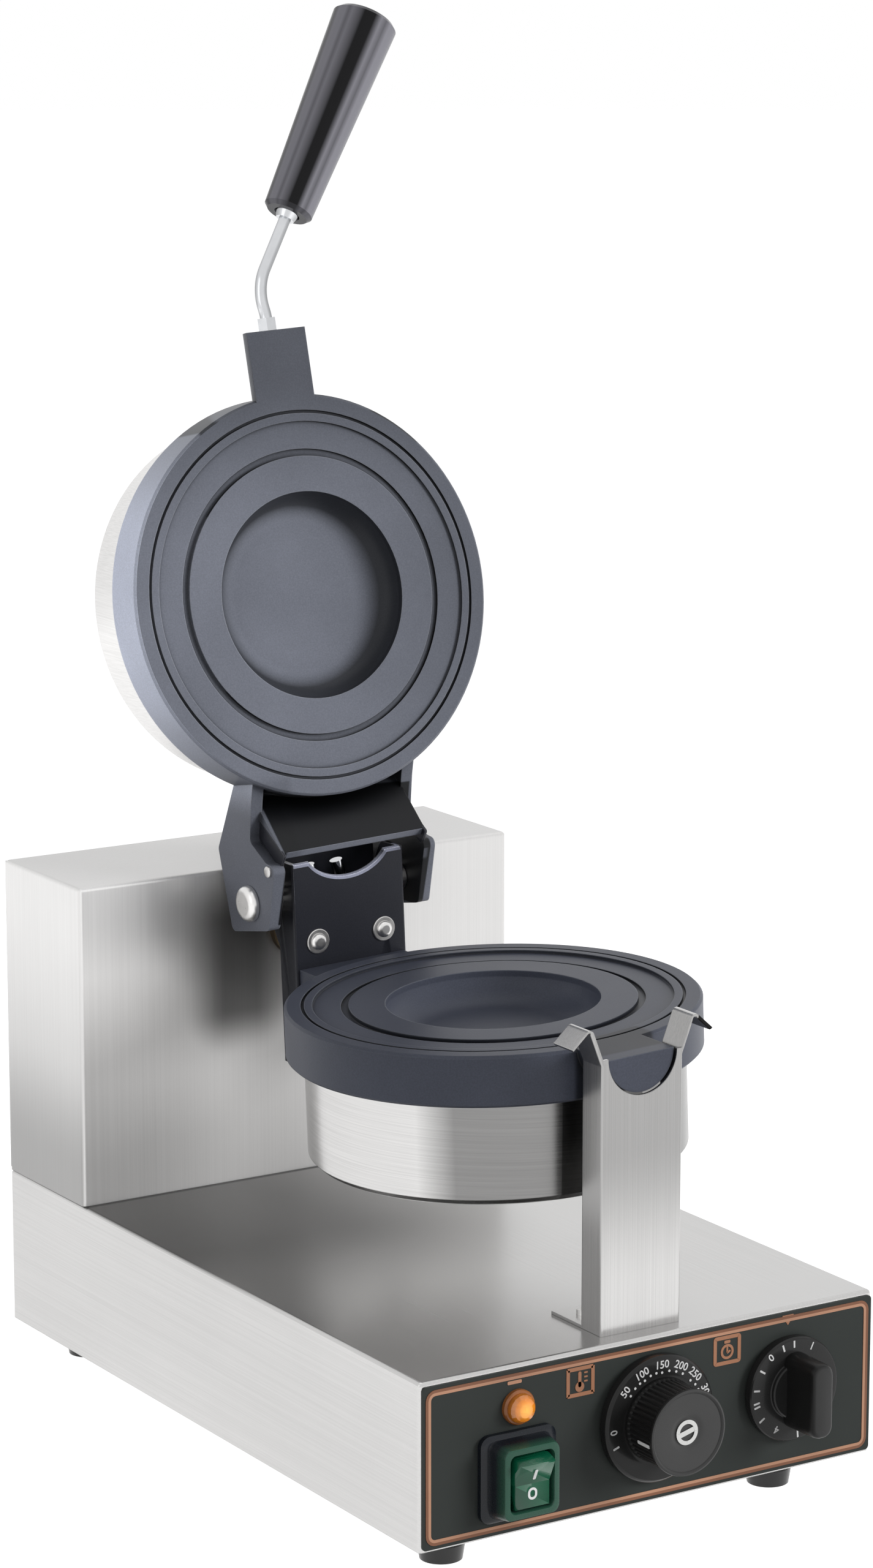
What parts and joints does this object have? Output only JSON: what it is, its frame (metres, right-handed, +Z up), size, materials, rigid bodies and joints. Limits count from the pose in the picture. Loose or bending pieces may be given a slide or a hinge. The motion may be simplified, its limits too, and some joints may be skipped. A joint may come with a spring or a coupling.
{
  "type": "ufo burger maker",
  "caption": "Countertop bun press: round cooking pan with a hinged lid, turning on a shaft between a notched post and a rear housing over a stainless control base.",
  "frame": {"origin": "on the ground under the middle of the overall box", "axes": "+Z up, -Y to the front with the control panel, +X to the user's right"},
  "size_m": [0.25, 0.4256, 0.6737],
  "materials": {
    "stainless": "brushed stainless sheet",
    "post_steel": "brushed stainless sheet",
    "foot_rubber": "matt black rubber",
    "bright_steel": "bright zinc-plated steel",
    "black_plastic": "matt black plastic",
    "panel_print": "dark printed overlay, satin",
    "copper_line": "copper-coloured printed line",
    "amber_lens": "clear amber lens",
    "switch_boot": "dark moulded boot",
    "green_plastic": "green rocker",
    "knob_plastic": "black moulded knob",
    "white_plastic": "white terminal block",
    "bearing_bronze": "sintered bronze",
    "dark_sheet": "dark painted sheet",
    "wire_sleeve": "metal wire sleeve",
    "coated_casting": "cast aluminium with dark non-stick coat",
    "heater_tube": "sheathed heating element",
    "drum_sheet": "bright brushed stainless sheet",
    "chromed_rod": "chromed steel",
    "ferrule_metal": "bare metal",
    "black_bakelite": "polished black phenolic"
  },
  "bodies": {
    "base": {"base_shell": "stainless", "base_plate": "stainless", "rear_housing": "stainless", "rear_cover": "stainless", "front_post": "post_steel", "foot_front_left": "foot_rubber", "foot_front_right": "foot_rubber", "foot_rear_left": "foot_rubber", "foot_rear_right": "foot_rubber", "foot_screws": "bright_steel", "housing_screws": "bright_steel", "bridge_bolts": "bright_steel", "post_bolts": "bright_steel", "cable_gland": "black_plastic", "control_panel": "panel_print", "panel_border": "copper_line", "lamp_bezel": "black_plastic", "lamp_lens": "amber_lens", "switch_housing": "switch_boot", "thermostat_body": "bright_steel", "timer_body": "bright_steel", "terminal_block": "white_plastic", "front_bearing": "bearing_bronze", "rear_bearing": "bearing_bronze", "bearing_bridge": "dark_sheet"},
    "pan": {"hinge_bracket": "dark_sheet", "turning_shaft": "bright_steel", "shaft_collar": "bright_steel", "bracket_bolts": "bright_steel", "lug_screws": "bright_steel", "hinge_pin_left": "bright_steel", "hinge_pin_right": "bright_steel", "hinge_nuts": "bright_steel", "hinge_spacers": "bright_steel", "pan_sleeve": "wire_sleeve", "lid_sleeves": "wire_sleeve", "pan_plate": "coated_casting", "pan_heater": "heater_tube", "pan_drum": "drum_sheet", "pan_cover": "drum_sheet", "pan_stud": "bright_steel"},
    "lid": {"lid_plate": "coated_casting", "lid_heater": "heater_tube", "lid_drum": "drum_sheet", "lid_cover": "drum_sheet", "lid_stud": "bright_steel", "handle_rod": "chromed_rod", "handle_nut": "chromed_rod", "handle_ferrule": "ferrule_metal", "handle_grip": "black_bakelite"},
    "rocker": {"switch_rocker": "green_plastic"},
    "thermostat": {"thermostat_knob": "knob_plastic"},
    "timer": {"timer_knob": "knob_plastic"}
  },
  "joints": [
    {"name": "pan_turn", "type": "hinge", "parent": "base", "child": "pan", "pos_m": [0, -0.0505, 0.2175], "axis": [0, 1, 0], "range_deg": [-22.55, 27.45]},
    {"name": "lid_hinge", "type": "hinge", "parent": "pan", "child": "lid", "pos_m": [-0.00105, 0.0955, 0.24198], "axis": [0.9991, 0, 0.0427], "range_deg": [0, 101.4]},
    {"name": "rocker_tip", "type": "hinge", "parent": "base", "child": "rocker", "pos_m": [-0.075, -0.1928, 0.0375], "axis": [1, 0, 0], "range_deg": [-18, 0]},
    {"name": "thermostat_turn", "type": "hinge", "parent": "base", "child": "thermostat", "pos_m": [0, -0.1848, 0.05], "axis": [0, 1, 0], "range_deg": [0, 300]},
    {"name": "timer_turn", "type": "hinge", "parent": "base", "child": "timer", "pos_m": [0.076, -0.1848, 0.05], "axis": [0, 1, 0], "range_deg": [0, 320]}
  ]
}
